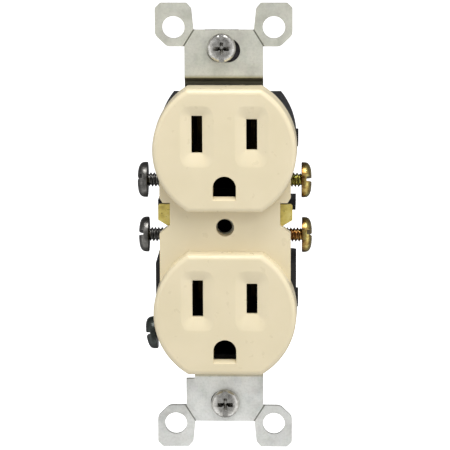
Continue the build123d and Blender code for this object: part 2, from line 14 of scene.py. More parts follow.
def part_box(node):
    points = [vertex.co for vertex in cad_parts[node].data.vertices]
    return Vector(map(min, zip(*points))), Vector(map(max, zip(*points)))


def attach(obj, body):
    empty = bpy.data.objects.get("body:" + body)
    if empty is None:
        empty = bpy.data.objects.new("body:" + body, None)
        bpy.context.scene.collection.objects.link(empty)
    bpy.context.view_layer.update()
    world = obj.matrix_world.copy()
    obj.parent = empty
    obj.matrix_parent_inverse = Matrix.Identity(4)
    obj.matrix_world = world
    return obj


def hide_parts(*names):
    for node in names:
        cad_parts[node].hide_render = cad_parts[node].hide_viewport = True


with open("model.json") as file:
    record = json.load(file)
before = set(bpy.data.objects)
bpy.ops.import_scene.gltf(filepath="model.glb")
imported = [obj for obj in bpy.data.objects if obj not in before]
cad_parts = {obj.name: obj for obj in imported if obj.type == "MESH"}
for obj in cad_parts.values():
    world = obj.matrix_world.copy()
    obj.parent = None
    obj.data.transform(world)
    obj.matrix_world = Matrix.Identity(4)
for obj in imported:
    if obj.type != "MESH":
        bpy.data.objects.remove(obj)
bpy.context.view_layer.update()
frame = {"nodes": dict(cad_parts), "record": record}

MM = 0.001
WHITE = (1, 1, 1)
scene = bpy.context.scene
nodes = frame["nodes"]

CAMERA_AIM = (0.14 * MM, 0, 0.55 * MM)
CAMERA_AZIMUTH = 2.0            # degrees: a little from the right, and from above
CAMERA_ELEVATION = 11.0
CAMERA_ROLL = -0.2
CAMERA_DISTANCE = 0.640
FOCAL_LENGTH = 217.8            # millimetres, as Blender has it
FLOOR_HALF = 6.0
FLOOR_Z = -0.16
WORLD_STRENGTH = 1.95
WORLD_DEPTH = ((0.0, 0.3), (0.05, 0.35), (0.16, 0.8), (0.3, 1.0), (0.5, 0.7), (0.7, 0.2), (1.0, 0.1))
WORLD_ACROSS = ((0.0, 0.8), (0.5, 1.0), (0.85, 0.8), (1.0, 0.6))        # middle to either side
WORLD_UPWARD = ((0.0, 0.6), (0.35, 0.9), (0.5, 1.0), (0.7, 0.6), (1.0, 0.3))    # below to overhead


# ---------------------------------------------------------------- camera and light

def look_from(azimuth, elevation, roll, distance, aim):
    """World matrix of a camera or lamp that looks at aim from the given angles in degrees."""
    az, el, tilt = radians(azimuth), radians(elevation), radians(roll)
    back = Vector((sin(az) * cos(el), -cos(az) * cos(el), sin(el)))
    right = Vector((cos(az), sin(az), 0))
    up = back.cross(right)
    side = right * cos(tilt) + up * sin(tilt)
    top = up * cos(tilt) - right * sin(tilt)
    matrix = Matrix((side, top, back)).transposed().to_4x4()
    matrix.translation = Vector(aim) + back * distance
    return matrix


def make_camera():
    """Long lens, slightly above the object and slightly to its right."""
    lens = bpy.data.cameras.new("camera")
    lens.lens = FOCAL_LENGTH
    lens.clip_start = 0.05
    camera = bpy.data.objects.new("camera", lens)
    camera.matrix_world = look_from(
        CAMERA_AZIMUTH, CAMERA_ELEVATION, CAMERA_ROLL, CAMERA_DISTANCE, CAMERA_AIM)
    scene.collection.objects.link(camera)
    scene.camera = camera


def softbox(name, azimuth, elevation, distance, size, power, glossy=True):
    """Rectangular soft lamp aimed at the object; without glossy it only fills matt surfaces."""
    lamp = bpy.data.lights.new(name, "AREA")
    lamp.shape = "RECTANGLE"
    lamp.size, lamp.size_y = size
    lamp.energy = power
    holder = bpy.data.objects.new(name, lamp)
    holder.matrix_world = look_from(azimuth, elevation, 0, distance, (0, 0, 0))
    holder.visible_glossy = glossy
    scene.collection.objects.link(holder)


def make_world():
    """Studio surround: bright to both sides, dim straight in front and behind, dimmer overhead."""
    world = bpy.data.worlds.new("studio")
    world.use_nodes = True
    scene.world = world
    tree = world.node_tree
    coords = tree.nodes.new("ShaderNodeTexCoord")
    axes = tree.nodes.new("ShaderNodeSeparateXYZ")
    tree.links.new(coords.outputs["Generated"], axes.inputs[0])
    sideways = tree.nodes.new("ShaderNodeMath")
    sideways.operation = "ABSOLUTE"
    tree.links.new(axes.outputs["X"], sideways.inputs[0])
    level = None
    for source, start, stops in (
        (sideways.outputs[0], 0.0, WORLD_ACROSS),
        (axes.outputs["Y"], -1.0, WORLD_DEPTH),
        (axes.outputs["Z"], -1.0, WORLD_UPWARD),
    ):
        place = tree.nodes.new("ShaderNodeMapRange")
        place.inputs["From Min"].default_value = start
        tree.links.new(source, place.inputs["Value"])
        ramp = tree.nodes.new("ShaderNodeValToRGB")
        band = ramp.color_ramp
        while len(band.elements) < len(stops):
            band.elements.new(0.5)
        for element, (position, grey) in zip(band.elements, stops):
            element.position = position
            element.color = (grey, grey, grey, 1)
        tree.links.new(place.outputs[0], ramp.inputs[0])
        if level is None:
            level = ramp.outputs[0]
            continue
        product = tree.nodes.new("ShaderNodeMix")
        product.data_type = "RGBA"
        product.blend_type = "MULTIPLY"
        product.inputs[0].default_value = 1.0
        tree.links.new(level, product.inputs[6])
        tree.links.new(ramp.outputs[0], product.inputs[7])
        level = product.outputs[2]
    sky = tree.nodes["Background"]
    tree.links.new(level, sky.inputs["Color"])
    sky.inputs["Strength"].default_value = WORLD_STRENGTH


def make_stage():
    """Plain pale floor, well below the object, which a wall holds."""
    floor = bpy.data.meshes.new("floor")
    corners = [(x * FLOOR_HALF, y * FLOOR_HALF, FLOOR_Z) for x, y in ((-1, -1), (1, -1), (1, 1), (-1, 1))]
    floor.from_pydata(corners, [], [(0, 1, 2, 3)])
    holder = bpy.data.objects.new("floor", floor)
    scene.collection.objects.link(holder)
    paint = bpy.data.materials.new("floor_paint")
    paint.use_nodes = True
    shader = paint.node_tree.nodes["Principled BSDF"]
    shader.inputs["Base Color"].default_value = (0.93, 0.93, 0.93, 1)
    shader.inputs["Roughness"].default_value = 0.9
    shader.inputs["Specular IOR Level"].default_value = 0.1
    shader.inputs["Emission Color"].default_value = (1, 1, 1, 1)
    shader.inputs["Emission Strength"].default_value = 0.85
    floor.materials.append(paint)
    holder.visible_glossy = False
    holder.visible_diffuse = False


# ---------------------------------------------------------------- materials

EAR_SCORE = ((6.6 * MM, 47.3 * MM), (9.6 * MM, 42.5 * MM))      # (x, z) ends of the groove at an ear's root
HEAD_INSIDE = 18.1 * MM         # where the heads of the right-hand terminal screws begin and end
HEAD_OUTSIDE = 20.5 * MM
LOWER_TERMINAL_Z, UPPER_TERMINAL_Z = (
    sum(corner[2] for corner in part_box(f"hot_terminal_screw_{end}")) / 2 for end in ("lower", "upper"))


class Finish:
    """A material under construction: its node tree, with short ways to add what repeats."""

    def __init__(self, name, colour, metallic, roughness):
        self.material = bpy.data.materials.new(name)
        self.material.use_nodes = True
        self.tree = self.material.node_tree
        self.shader = self.tree.nodes["Principled BSDF"]
        self.coords = self.tree.nodes.new("ShaderNodeTexCoord").outputs["Object"]
        self.shader.inputs["Base Color"].default_value = (*colour, 1)
        self.shader.inputs["Metallic"].default_value = metallic
        self.shader.inputs["Roughness"].default_value = roughness

    def link(self, source, target):
        self.tree.links.new(source, target)

    def noise(self, size, detail=4.0, roughness=0.55, stretch=(1, 1, 1), distortion=0.0):
        """Noise with features about size metres across, drawn out along an axis by stretch."""
        mapping = self.tree.nodes.new("ShaderNodeMapping")
        mapping.inputs["Scale"].default_value = [1 / (size * s) for s in stretch]
        node = self.tree.nodes.new("ShaderNodeTexNoise")
        node.inputs["Scale"].default_value = 1.0
        node.inputs["Detail"].default_value = detail
        node.inputs["Roughness"].default_value = roughness
        node.inputs["Distortion"].default_value = distortion
        self.link(self.coords, mapping.inputs["Vector"])
        self.link(mapping.outputs[0], node.inputs["Vector"])
        return node.outputs["Fac"]

    def grains(self, size):
        """Random value per crystal, with crystals about size metres across."""
        mapping = self.tree.nodes.new("ShaderNodeMapping")
        mapping.inputs["Scale"].default_value = (1 / size, 1 / size, 1 / size)
        node = self.tree.nodes.new("ShaderNodeTexVoronoi")
        node.inputs["Scale"].default_value = 1.0
        self.link(self.coords, mapping.inputs["Vector"])
        self.link(mapping.outputs[0], node.inputs["Vector"])
        return node.outputs["Color"]

    def along(self, axis, start, end):
        """0 to 1 as the place on the object goes from start to end along an axis, in metres."""
        node = self.tree.nodes.new("ShaderNodeSeparateXYZ")
        self.link(self.coords, node.inputs[0])
        return self.span(node.outputs[axis], 0.0, 1.0, start, end)

    def off_line(self, start, end):
        """Distance in metres from a line in the (X, Z) plane that is mirrored into all four corners."""
        axes = self.tree.nodes.new("ShaderNodeSeparateXYZ")
        self.link(self.coords, axes.inputs[0])
        across = Vector((end[1] - start[1], start[0] - end[0])).normalized()
        total = -across.dot(Vector(start))
        for axis, weight in (("X", across[0]), ("Z", across[1])):
            size = self.tree.nodes.new("ShaderNodeMath")
            size.operation = "ABSOLUTE"
            self.link(axes.outputs[axis], size.inputs[0])
            part = self.tree.nodes.new("ShaderNodeMath")
            part.operation = "MULTIPLY_ADD"
            part.inputs[1].default_value = weight
            self.link(size.outputs[0], part.inputs[0])
            if isinstance(total, float):
                part.inputs[2].default_value = total
            else:
                self.link(total, part.inputs[2])
            total = part.outputs[0]
        distance = self.tree.nodes.new("ShaderNodeMath")
        distance.operation = "ABSOLUTE"
        self.link(total, distance.inputs[0])
        return distance.outputs[0]

    def ramp(self, source, *stops):
        """Colour ramp with stops of (position, colour)."""
        node = self.tree.nodes.new("ShaderNodeValToRGB")
        band = node.color_ramp
        while len(band.elements) < len(stops):
            band.elements.new(0.5)
        for element, (place, colour) in zip(band.elements, stops):
            element.position = place
            element.color = (*colour, 1)
        self.link(source, node.inputs[0])
        return node.outputs[0]

    def span(self, source, low, high, start=0.0, end=1.0):
        """Value between low and high as the source goes from start to end."""
        node = self.tree.nodes.new("ShaderNodeMapRange")
        node.inputs["From Min"].default_value = start
        node.inputs["From Max"].default_value = end
        node.inputs["To Min"].default_value = low
        node.inputs["To Max"].default_value = high
        self.link(source, node.inputs["Value"])
        return node.outputs[0]

    def mix(self, fac, first, second, mode="MIX"):
        """Mix of two colours, each given as a socket or a colour."""
        node = self.tree.nodes.new("ShaderNodeMix")
        node.data_type = "RGBA"
        node.blend_type = mode
        for value, socket in ((fac, node.inputs[0]), (first, node.inputs[6]), (second, node.inputs[7])):
            if isinstance(value, bpy.types.NodeSocket):
                self.link(value, socket)
            elif isinstance(value, (int, float)):
                socket.default_value = value
            else:
                socket.default_value = (*value, 1)
        return node.outputs[2]

    def colour(self, source):
        self.link(source, self.shader.inputs["Base Color"])

    def roughness(self, source, low, high, start=0.3, end=0.7):
        self.link(self.span(source, low, high, start, end), self.shader.inputs["Roughness"])

    def bump(self, source, depth, strength):
        """Relief of the given depth in metres; several calls add up."""
        node = self.tree.nodes.new("ShaderNodeBump")
        node.inputs["Distance"].default_value = depth
        node.inputs["Strength"].default_value = strength
        self.link(source, node.inputs["Height"])
        target = self.shader.inputs["Normal"]
        if target.is_linked:
            self.link(target.links[0].from_socket, node.inputs["Normal"])
        self.link(node.outputs[0], target)


def ivory_plastic():
    """Semi-gloss ivory thermoplastic: faint clouding, moulding ripple, very fine grain."""
    f = Finish("ivory_plastic", (0.75, 0.665, 0.44), 0.0, 0.38)
    f.shader.inputs["IOR"].default_value = 1.5
    f.shader.inputs["Subsurface Weight"].default_value = 0.08
    f.shader.inputs["Subsurface Radius"].default_value = (0.0009, 0.0008, 0.0005)
    f.shader.inputs["Subsurface Scale"].default_value = 1.0
    cloud = f.noise(9 * MM, detail=3)
    f.colour(f.ramp(cloud, (0.3, (0.685, 0.602, 0.413)), (0.7, (0.72, 0.632, 0.443))))
    f.roughness(f.noise(2.5 * MM, detail=5), 0.26, 0.38)
    f.bump(f.noise(6 * MM, detail=2), 0.02 * MM, 0.5)
    f.bump(f.noise(0.12 * MM, detail=1), 0.002 * MM, 0.6)
    return f.material


def black_plastic():
    """Matt black thermoplastic with a spark-eroded grain and dusty patches."""
    f = Finish("black_plastic", (0.012, 0.012, 0.014), 0.0, 0.5)
    dust = f.noise(3 * MM, detail=6)
    f.colour(f.ramp(dust, (0.35, (0.008, 0.008, 0.010)), (0.75, (0.022, 0.021, 0.022))))
    f.roughness(f.noise(1.2 * MM, detail=5), 0.42, 0.62)
    f.shader.inputs["Specular IOR Level"].default_value = 0.3
    f.bump(f.noise(0.16 * MM, detail=2), 0.02 * MM, 0.6)
    return f.material


def galvanised_steel():
    """Zinc-plated strip: clouded patches, small crystals and stains, fine rolling streaks.

    It has painted shade: it is darker and warmer towards the top, near-black at the upper joggle
    and dark along the scored roots of the ears. It is also a little darker on the lower ears.
    """
    f = Finish("galvanised_steel", (0.72, 0.73, 0.71), 0.6, 0.42)
    cloud = f.noise(4 * MM, detail=6, roughness=0.62)
    zinc = ((0.28, (0.76, 0.77, 0.745)), (0.5, (0.91, 0.92, 0.895)), (0.74, (0.985, 0.99, 0.97)))
    base = f.ramp(cloud, *zinc)
    streak = f.noise(0.35 * MM, detail=4, stretch=(1, 1, 14))
    base = f.mix(0.15, base, f.ramp(streak, (0.3, (0.42, 0.42, 0.40)), (0.7, (0.8, 0.8, 0.79))), "OVERLAY")
    stain = f.noise(0.6 * MM, detail=5, roughness=0.7)
    base = f.mix(0.45, base, f.ramp(stain, (0.3, (0.72, 0.72, 0.70)), (0.55, WHITE)), "MULTIPLY")
    base = f.mix(0.06, base, f.grains(1.6 * MM), "SOFT_LIGHT")

    height = f.along("Z", -50 * MM, 50 * MM)
    # Painted shade: darker and warmer towards the top, where the strap reflects less of the bright surround.
    base = f.mix(1.0, base, f.ramp(height, (0.1, (1.0, 1.0, 0.985)), (0.9, (0.73, 0.72, 0.645))), "MULTIPLY")
    off_middle = f.off_line((0, 0), (0, 1))
    ears = f.span(off_middle, 0.0, 1.0, 7 * MM, 11 * MM)
    base = f.mix(ears, base, f.ramp(height, (0.1, (0.86, 0.86, 0.86)), (0.9, WHITE)), "MULTIPLY")

    # Painted shade: a near-black band round the upper joggle, where the strap bends back under the cover,
    # with a half-shaded step above it.
    joggle = f.along("Z", 38 * MM, 30 * MM)
    half_shadow = (0.62, 0.60, 0.51)
    painted_shadow = (0.10, 0.096, 0.08)
    shade = ((0.2, WHITE), (0.29, half_shadow), (0.33, painted_shadow), (0.7, painted_shadow), (0.8, WHITE))
    base = f.mix(1.0, base, f.ramp(joggle, *shade), "MULTIPLY")
    # Painted shade: a thin dark line along the scored groove at the root of each ear.
    groove_shade = f.span(f.off_line(*EAR_SCORE), 0.0, 1.0, 0.08 * MM, 0.24 * MM)
    f.colour(f.mix(1.0, base, f.ramp(groove_shade, (0.0, (0.42, 0.42, 0.4)), (1.0, WHITE)), "MULTIPLY"))
    f.roughness(cloud, 0.34, 0.56)
    f.bump(streak, 0.006 * MM, 0.5)
    f.bump(f.noise(0.5 * MM, detail=5), 0.012 * MM, 0.5)
    return f.material


def brass_sheet(name="brass_sheet"):
    """Stamped brass with a brown bloom and rolling marks, and painted shade that makes it nearly black
    inside the device.
    """
    f = Finish(name, (0.70, 0.55, 0.20), 0.7, 0.34)
    bloom = f.noise(1.8 * MM, detail=6, roughness=0.6)
    tones = ((0.25, (0.46, 0.35, 0.085)), (0.5, (0.76, 0.62, 0.17)), (0.75, (0.90, 0.78, 0.31)))
    # Painted shade: nearly black from about a millimetre behind the front inward, as seen down the blade
    # slots.
    inside_shade = f.ramp(f.along("Y", 0.0, 3 * MM), (0.3, WHITE), (0.9, (0.10, 0.08, 0.06)))
    f.colour(f.mix(1.0, f.ramp(bloom, *tones), inside_shade, "MULTIPLY"))
    f.roughness(f.noise(0.8 * MM, detail=5), 0.24, 0.5)
    f.bump(f.noise(0.2 * MM, detail=4, stretch=(1, 1, 10)), 0.006 * MM, 0.6)
    return f.material


def screw_metal(name, tones, roughness, metallic=1.0, film=0.0, tint=None):
    """Plated screw: two or more tones in small clouds, handling scratches, fine pits.

    The film is a clear lacquer. The tint, on the right-hand screws only, is that of the lower
    shank, of the upper shank, and of the inner sides of the heads.
    """
    f = Finish(name, tones[1], metallic, roughness[0])
    f.shader.inputs["Coat Weight"].default_value = film
    f.shader.inputs["Coat Roughness"].default_value = 0.15
    cloud = f.noise(1.1 * MM, detail=6, roughness=0.62, distortion=0.4)
    places = [0.28 + 0.44 * i / (len(tones) - 1) for i in range(len(tones))]
    plating = f.ramp(cloud, *zip(places, tones))
    if tint:
        height = f.along("Z", LOWER_TERMINAL_Z, UPPER_TERMINAL_Z)
        lower, upper, inner = tint
        shank = f.mix(1.0, plating, f.ramp(height, (0.2, lower), (0.8, upper)), "MULTIPLY")
        across = f.along("X", HEAD_INSIDE, HEAD_OUTSIDE)
        head = f.mix(1.0, plating, f.ramp(across, (0.1, inner), (0.5, WHITE)), "MULTIPLY")
        plating = f.mix(f.along("X", HEAD_INSIDE, HEAD_INSIDE - 0.2 * MM), head, shank)
    f.colour(plating)
    f.roughness(f.noise(0.6 * MM, detail=5), *roughness)
    f.bump(f.noise(0.14 * MM, detail=4), 0.008 * MM, 0.5)
    f.bump(f.noise(0.9 * MM, detail=3, stretch=(1, 0.15, 1)), 0.01 * MM, 0.4)
    return f.material


def fibre():
    """Hard vulcanised fibre: dark purplish grey, with fine strands."""
    f = Finish("fibre", (0.035, 0.03, 0.034), 0.0, 0.7)
    strand = f.noise(0.25 * MM, detail=5, stretch=(8, 1, 1))
    f.colour(f.ramp(strand, (0.3, (0.024, 0.021, 0.024)), (0.7, (0.058, 0.05, 0.056))))
    f.bump(strand, 0.01 * MM, 0.7)
    return f.material


def spring_steel():
    """Blued-grey spring strip with grinding lines along its length."""
    f = Finish("spring_steel", (0.40, 0.41, 0.43), 1.0, 0.3)
    line = f.noise(0.12 * MM, detail=4, stretch=(12, 12, 1))
    f.colour(f.ramp(line, (0.3, (0.30, 0.31, 0.34)), (0.7, (0.52, 0.52, 0.53))))
    f.roughness(line, 0.22, 0.42)
    f.bump(line, 0.004 * MM, 0.6)
    return f.material


# ---------------------------------------------------------------- mesh helpers

MERGE = 0.0001 * MM             # vertices nearer than this are one
CREASE = 34                     # degrees: faces that meet at less than this are shaded as one
EDGE = 28                       # degrees: edges of a CAD solid sharper than this are rounded
CUT_EDGE = 40                   # degrees: the same, where a curved surface was cut
FLAT = 0.4                      # degrees: facets of a CAD solid that meet at less are one face
CUT_FLAT = 0.05                 # degrees: the same, where a curved surface was cut


def new_piece(name, mesh, body, material, slot, *replaced):
    """Turn a mesh into a piece that rides on a CAD body and stands for CAD nodes."""
    piece = bpy.data.objects.new(name, mesh)
    scene.collection.objects.link(piece)
    mesh.materials.clear()
    mesh.materials.append(material)
    weighted = piece.modifiers.new("flat faces stay flat", "WEIGHTED_NORMAL")
    weighted.keep_sharp = True
    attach(piece, body)
    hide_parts(*replaced)


def shade_by_angle(mesh):
    """Smooth faces, with a crease where they meet sharply."""
    for face in mesh.polygons:
        face.use_smooth = True
    mesh.set_sharp_from_angle(angle=radians(CREASE))


def to_mesh(bm, name):
    """Finished mesh from a bmesh."""
    mesh = bpy.data.meshes.new(name)
    bm.to_mesh(mesh)
    bm.free()
    shade_by_angle(mesh)
    return mesh


def round_edges(bm, edges, width, segments=2):
    """Round some edges of a mesh to the given width."""
    bmesh.ops.bevel(
        bm, geom=edges, offset=width, offset_type="WIDTH", segments=segments, profile=0.6,
        affect="EDGES", clamp_overlap=True, miter_outer="ARC", loop_slide=True)
    bmesh.ops.remove_doubles(bm, verts=bm.verts, dist=MERGE)


def sharp_edges(bm, angle=EDGE):
    """Edges whose faces turn by more than the given angle in degrees."""
    return [e for e in bm.edges if e.is_manifold and e.calc_face_angle(0) > radians(angle)]


def solid_of(node):
    """Bmesh copy of a CAD node, its flat faces whole again."""
    bm = bmesh.new()
    bm.from_mesh(nodes[node].data)
    bmesh.ops.remove_doubles(bm, verts=bm.verts, dist=MERGE)
    bmesh.ops.dissolve_limit(bm, angle_limit=radians(FLAT), verts=bm.verts, edges=bm.edges)
    return bm


def revolve(bm, profile, columns):
    """Rings of vertices round Z from (radius, height) points, joined into a skin; returns the last."""
    ring = None
    for radius, height in profile:
        above = [
            bm.verts.new((radius * cos(2 * pi * a / columns), radius * sin(2 * pi * a / columns), height))
            for a in range(columns)
        ]
        if ring:
            for a in range(columns):
                b = (a + 1) % columns
                bm.faces.new((ring[a], ring[b], above[b], above[a]))
        ring = above
    return ring


def cap(bm, ring, height):
    """Close a ring with a fan to a middle vertex."""
    middle = bm.verts.new((0, 0, height))
    for a, vertex in enumerate(ring):
        bm.faces.new((vertex, ring[(a + 1) % len(ring)], middle))


def combine(bm, other, operation="DIFFERENCE"):
    """Bmesh of one closed bmesh less another, or of both joined; the two are used up."""
    pieces = []
    for part in (bm, other):
        bmesh.ops.recalc_face_normals(part, faces=part.faces)
        mesh = bpy.data.meshes.new("part")
        part.to_mesh(mesh)
        part.free()
        piece = bpy.data.objects.new("part", mesh)
        scene.collection.objects.link(piece)
        pieces.append(piece)
    blank, tool = pieces
    boolean = blank.modifiers.new("cut", "BOOLEAN")
    boolean.operation = operation
    boolean.solver = "EXACT"
    boolean.object = tool
    result = bpy.data.meshes.new_from_object(blank.evaluated_get(bpy.context.evaluated_depsgraph_get()))
    out = bmesh.new()
    out.from_mesh(result)
    for piece in pieces:
        mesh = piece.data
        bpy.data.objects.remove(piece)
        bpy.data.meshes.remove(mesh)
    bpy.data.meshes.remove(result)
    return out


def wedge(bottom, top, low, high):
    """Closed block between heights low and high, tapering between two (length, width) rectangles."""
    bm = bmesh.new()
    rings = []
    for (length, width), z in ((bottom, low), (top, high)):
        corners = ((-1, -1), (1, -1), (1, 1), (-1, 1))
        rings.append([bm.verts.new((x * length / 2, y * width / 2, z)) for x, y in corners])
    bm.faces.new(reversed(rings[0]))
    bm.faces.new(rings[1])
    for i in range(4):
        j = (i + 1) % 4
        bm.faces.new((rings[0][i], rings[0][j], rings[1][j], rings[1][i]))
    return bm


# ---------------------------------------------------------------- screws

PITCH = 25.4 / 32 * MM          # No. 6-32 thread
CREST_R = 1.72 * MM
ROOT_R = 1.27 * MM
# profile of one turn, as (part of the pitch, radius)
THREAD = ((0.0, ROOT_R), (0.2, ROOT_R), (0.52, CREST_R), (0.64, CREST_R), (0.97, ROOT_R))
TIP = 0.8                       # radius of the closed tip, as a part of the root's
COLUMNS = 64
DOME_POWER = 3.0                # how square the shoulder of a head is
DOME_STEPS = 16
RIM_BEVEL = 0.12 * MM           # under the rim of a head
SLOT_FLOOR = 0.92               # width of a driver slot's floor, as a part of its mouth's
CROSS_FLOOR = (0.2, 0.2)        # length and width of a cross wing, as parts of the span and of the
CROSS_MOUTH = (1.25, 0.98)      # slot's width: where it ends inside the head, and at the top
SEAT_CLEARANCE = 0.05 * MM      # edges that are lower than this above the seat stay sharp
TOOL_EDGE = 0.09 * MM


def thread_shank(bm, length):
    """Right-hand thread below Z = 0, with a run-out at the head and a chamfered, closed tip."""
    points = len(THREAD)
    rows = points * (int(length / PITCH) + 3)
    columns = []
    for a in range(COLUMNS):
        angle = 2 * pi * a / COLUMNS
        column = []
        for i in range(rows):
            place, radius = THREAD[i % points]
            depth = (i // points + place - a / COLUMNS) * PITCH
            depth = min(max(depth, 0), length)
            radius = min(radius, ROOT_R + depth, TIP * ROOT_R + length - depth)
            column.append(bm.verts.new((radius * cos(angle), radius * sin(angle), -depth)))
        columns.append(column)
    for a in range(COLUMNS):
        wrapped = a + 1 == COLUMNS
        side = columns[(a + 1) % COLUMNS]
        for i in range(rows - 1):
            j = max(i - points, 0) if wrapped else i
            k = max(i + 1 - points, 0) if wrapped else i + 1
            corners = (columns[a][i], columns[a][i + 1], side[k], side[j])
            corners = [v for n, v in enumerate(corners) if v not in corners[:n]]
            bm.faces.new(corners)
    cap(bm, [column[-1] for column in columns], -length)


def driver_head(bm, radius, height, rim):
    """Pan head above Z = 0: flat underside, short rim, rounded shoulder, gently domed top."""
    profile = [(ROOT_R, 0), (radius - RIM_BEVEL, 0), (radius, RIM_BEVEL), (radius, rim)]
    for i in range(1, DOME_STEPS):
        turn = pi / 2 * i / DOME_STEPS
        along = cos(turn) ** (2 / DOME_POWER)
        profile.append((radius * along, rim + (height - rim) * sin(turn) ** (2 / DOME_POWER)))
    cap(bm, revolve(bm, profile, COLUMNS), height)


def combination_screw(radius, height, rim, length, slot, cross):
    """Threaded screw with a pan head, a through slot and a cross recess; seat at the origin, head up.

    The slot is given as (width, depth) and the cross as (span, depth).
    """
    bm = bmesh.new()
    thread_shank(bm, length)
    driver_head(bm, radius, height, rim)
    bmesh.ops.remove_doubles(bm, verts=bm.verts, dist=0.1 * MERGE)
    above = height + MM
    slot_width, slot_depth = slot
    cross_span, cross_depth = cross
    through = 3 * radius
    floor = (through, SLOT_FLOOR * slot_width)
    bm = combine(bm, wedge(floor, (through, slot_width), height - slot_depth, above))
    low = height - cross_depth
    wing = [(length * cross_span, width * slot_width) for length, width in (CROSS_FLOOR, CROSS_MOUTH)]
    bm = combine(bm, wedge(*wing, low, above))
    bm = combine(bm, wedge(*[size[::-1] for size in wing], low, above))
    tools = [e for e in sharp_edges(bm, CUT_EDGE) if min(v.co.z for v in e.verts) > SEAT_CLEARANCE]
    round_edges(bm, tools, TOOL_EDGE)
    return bm


def screw_place(seat, out, slot_direction):
    """Matrix that puts a screw's seat, outward axis and slot direction where they belong."""
    z = Vector(out).normalized()
    y = z.cross(Vector(slot_direction)).normalized()
    matrix = Matrix((y.cross(z), y, z)).transposed().to_4x4()
    matrix.translation = Vector(seat)
    return matrix


def put_screw(node, screw, matrix, material, slot):
    """Copy of a screw, in its place, riding on its own body."""
    mesh = bpy.data.meshes.new(node)
    screw.to_mesh(mesh)
    mesh.transform(matrix)
    shade_by_angle(mesh)
    new_piece(f"{node}.threaded", mesh, node, material, slot, node)


# ---------------------------------------------------------------- pieces

SLOT_TILTS = {"hot_upper": -14, "hot_lower": -20, "neutral_upper": -22, "neutral_lower": -17}  # degrees
TERMINAL_SHANK = 7.4 * MM       # lengths below the head
MOUNTING_SHANK = 18.0 * MM
GROUND_SHANK = 7.0 * MM
GROUND_REACH = 2.6 * MM         # from the tab to the seat of the ground screw's head
BLADE_X = 6.35 * MM             # half of the spacing of the blade slots
SLOT_HALVES = {1: (1.27 * MM, 3.62 * MM), -1: (1.27 * MM, 4.37 * MM)}   # a hair over the CAD slots
SLOT_CORNER = 0.2 * MM
SLOT_REACH = 2.6 * MM           # from the face to behind its sheet
FACE_SHEET = 2.1 * MM
FILL_HALF = (3.3 * MM, 7.15 * MM)   # blocks that fill the plain CAD pockets before the dishes are cut
FILL_INSET = 0.05 * MM
DISH_HALF = (4.1 * MM, 7.4 * MM)
DISH_CORNER = 2.6 * MM
DISH_DROP = 0.45 * MM           # the middle of a dish is this far below that of its slot
DISH_DEPTH = 1.05 * MM
DISH_START = 0.01 * MM          # the cutter starts this far outside the face
DISH_POWER = 1.35               # 1 would give flat sides; more is shallower at the rim
DISH_STEPS = 10
CORNER_STEPS = 5
COVER_EDGE = 0.22 * MM


def mount(name):
    """Position of one of the record's mounts."""
    return Vector(next(m["pos_m"] for m in frame["record"]["mounts"] if m["name"] == name))


def joint_axis(child):
    """Axis of the joint that moves a body."""
    return Vector(next(j["axis"] for j in frame["record"]["behaviour"]["joints"] if j["child"] == child))


def make_terminal_screws(yellow, nickel):
    """Four backed-out terminal screws: yellow on the right, nickel on the left."""
    screw = combination_screw(
        radius=4.18 * MM, height=2.4 * MM, rim=0.4 * MM, length=TERMINAL_SHANK,
        slot=(1.15 * MM, 1.2 * MM), cross=(3.3 * MM, 1.6 * MM))
    kinds = (("hot", 1, yellow, "brass_screw"), ("neutral", -1, nickel, "nickel_screw"))
    for side, outward, material, slot_name in kinds:
        for end in ("upper", "lower"):
            node = f"{side}_terminal_screw_{end}"
            low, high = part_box(node)
            tip_x = low[0] if outward > 0 else high[0]
            seat = (tip_x + outward * TERMINAL_SHANK, (low[1] + high[1]) / 2, (low[2] + high[2]) / 2)
            tilt = radians(SLOT_TILTS[f"{side}_{end}"])
            matrix = screw_place(seat, (outward, 0, 0), (0, cos(tilt), sin(tilt)))
            put_screw(node, screw, matrix, material, slot_name)
    screw.free()


def make_ground_screw(green):
    """Dark green ground screw on the tilted tab."""
    screw = combination_screw(
        radius=3.9 * MM, height=2.4 * MM, rim=0.4 * MM, length=GROUND_SHANK,
        slot=(1.15 * MM, 1.15 * MM), cross=(3.1 * MM, 1.5 * MM))
    out = -joint_axis("ground_screw")
    matrix = screw_place(mount("ground_terminal") + out * GROUND_REACH, out, (0, 1, -0.1))
    put_screw("ground_screw", screw, matrix, green, "green_screw")
    screw.free()


def make_mounting_screws(zinc):
    """The two screws that fasten the strap to its box, slots upright."""
    screw = combination_screw(
        radius=3.38 * MM, height=1.9 * MM, rim=0.35 * MM, length=MOUNTING_SHANK,
        slot=(1.3 * MM, 0.7 * MM), cross=(3.9 * MM, 2.5 * MM))
    for end in ("top", "bottom"):
        node = f"mounting_screw_{end}"
        low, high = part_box(node)
        seat = ((low[0] + high[0]) / 2, high[1] - MOUNTING_SHANK, (low[2] + high[2]) / 2)
        put_screw(node, screw, screw_place(seat, (0, -1, 0), (0, 0, 1)), zinc, "zinc_screw")
    screw.free()


def rounded_ring(bm, middle, half, radius, y):
    """Ring of vertices on a rounded rectangle at depth y, round (x, z)."""
    ring = []
    for turn, (right, up) in enumerate(((1, 1), (-1, 1), (-1, -1), (1, -1))):
        for step in range(CORNER_STEPS + 1):
            angle = pi / 2 * (turn + step / CORNER_STEPS)
            x = middle[0] + right * (half[0] - radius) + radius * cos(angle)
            z = middle[1] + up * (half[1] - radius) + radius * sin(angle)
            ring.append(bm.verts.new((x, y, z)))
    return ring


def add_tube(bm, rings):
    """Closed skin through rings of equal length."""
    bm.faces.new(rings[0])
    bm.faces.new(reversed(rings[-1]))
    for ring, following in zip(rings, rings[1:]):
        for a in range(len(ring)):
            b = (a + 1) % len(ring)
            bm.faces.new((ring[a], ring[b], following[b], following[a]))


